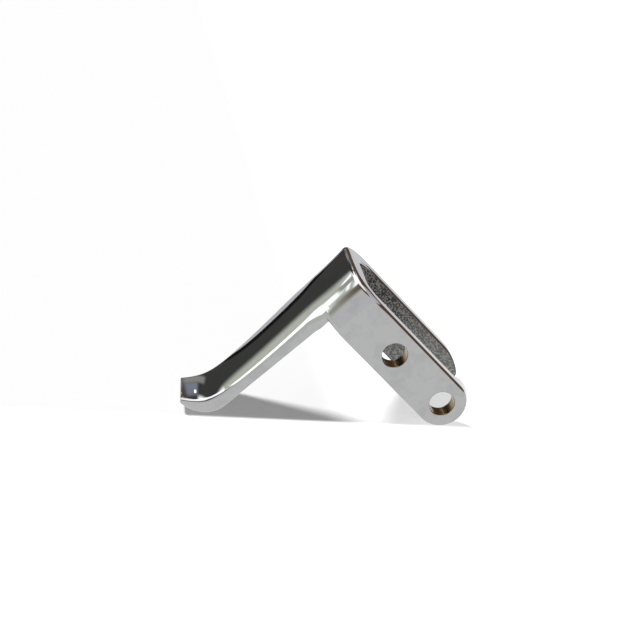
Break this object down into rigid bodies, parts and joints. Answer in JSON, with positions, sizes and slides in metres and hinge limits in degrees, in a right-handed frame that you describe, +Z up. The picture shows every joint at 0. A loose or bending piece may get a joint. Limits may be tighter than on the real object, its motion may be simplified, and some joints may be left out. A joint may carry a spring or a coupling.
{
  "type": "lever bracket",
  "caption": "Chromed die cast lever bracket: a crowned arm with an upturned tip, turning at a right angle into an open fork with pin bores.",
  "frame": {"origin": "on the axis of the end bore, halfway between the fork's two cheeks", "axes": "+Y along the bores' axes, from the plain cheek to the longer one; +Z up as the part stands on its arm's tip and its cheeks' ends; +X from the arm's side to the fork's side"},
  "size_m": [0.0681, 0.0274, 0.036],
  "materials": {
    "chrome": "bright chrome plating on zinc, polished outside; dull granular as-cast skin inside the slot"
  },
  "bodies": {
    "root": {"lever_bracket": "chrome"}
  },
  "joints": []
}
